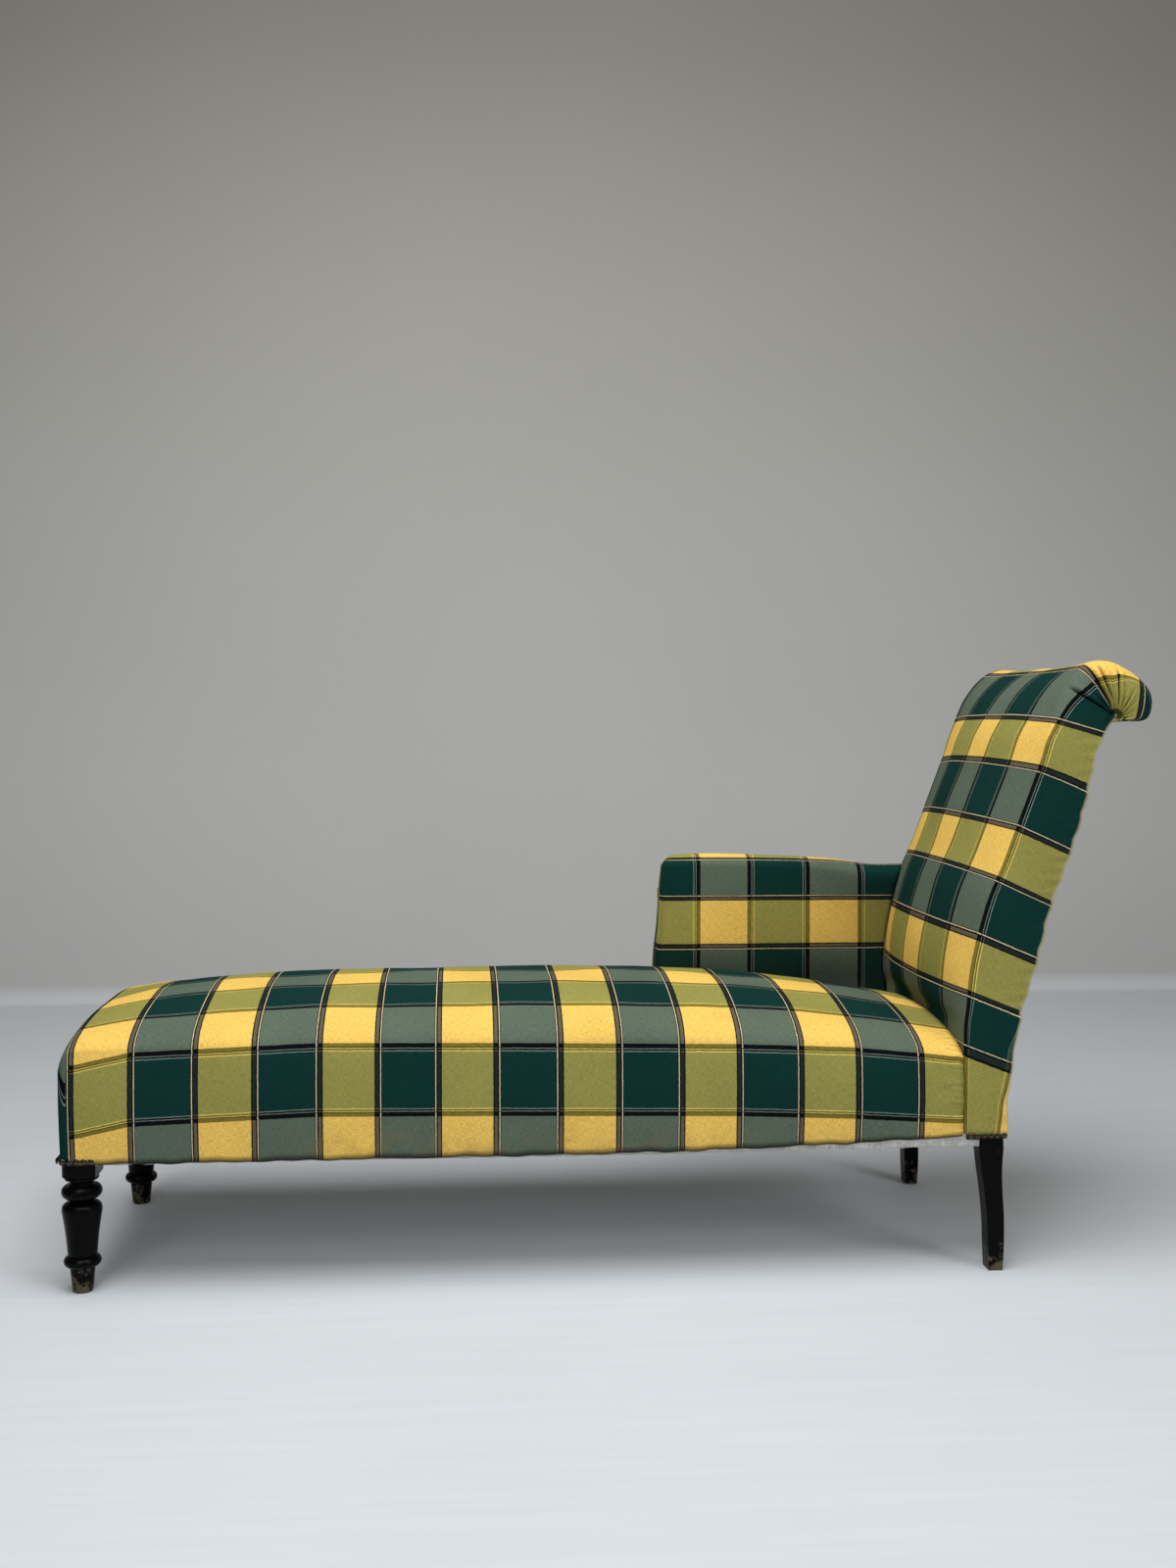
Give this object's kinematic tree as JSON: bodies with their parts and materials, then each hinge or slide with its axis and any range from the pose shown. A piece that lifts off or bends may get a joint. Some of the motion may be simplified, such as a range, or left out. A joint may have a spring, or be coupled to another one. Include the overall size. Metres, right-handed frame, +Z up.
{
  "type": "fainting couch",
  "caption": "One-armed upholstered couch with a long sprung seat, a raked back with a scrolled top, turned foot legs and sabre back legs.",
  "frame": {"origin": "centre of the footprint on the floor", "axes": "+X along the seat from the foot end to the head end with the back, +Y from the open side to the arm side, +Z up"},
  "size_m": [1.732, 0.5274, 0.9793],
  "materials": {
    "check_cloth": "woven wool check",
    "ebonised_wood": "satin",
    "beech": "bare",
    "jute_webbing": "coarse weave",
    "spring_steel": "coppered",
    "steel": "plain",
    "hessian": "open weave",
    "stuffing": "curled hair",
    "ticking": "fine stripe",
    "antique_nails": "dark antique"
  },
  "bodies": {
    "root": {"near_foot_leg": "ebonised_wood", "far_foot_leg": "ebonised_wood", "near_back_post": "ebonised_wood", "far_back_post": "ebonised_wood", "near_seat_rail": "beech", "far_seat_rail": "beech", "foot_seat_rail": "beech", "head_seat_rail": "beech", "seat_brace": "beech", "corner_blocks": "beech", "block_screws": "steel", "tenon_pegs": "beech", "back_lower_rail": "beech", "back_crest_rail": "beech", "arm_front_post": "beech", "arm_top_rail": "beech", "arm_tacking_rail": "beech", "arm_dowels": "beech", "seat_webbing_long": "jute_webbing", "seat_webbing_cross": "jute_webbing", "seat_springs": "spring_steel", "seat_hessian": "hessian", "seat_stuffing": "stuffing", "seat_cover": "check_cloth", "bottom_cloth": "ticking", "back_webbing_up": "jute_webbing", "back_webbing_across": "jute_webbing", "back_hessian": "hessian", "back_stuffing": "stuffing", "roll_stuffing": "stuffing", "back_cover": "check_cloth", "outside_back_panel": "check_cloth", "arm_webbing": "jute_webbing", "arm_stuffing": "stuffing", "arm_cover": "check_cloth", "outside_arm_panel": "check_cloth", "foot_nails": "antique_nails", "back_nails": "antique_nails"}
  },
  "joints": []
}
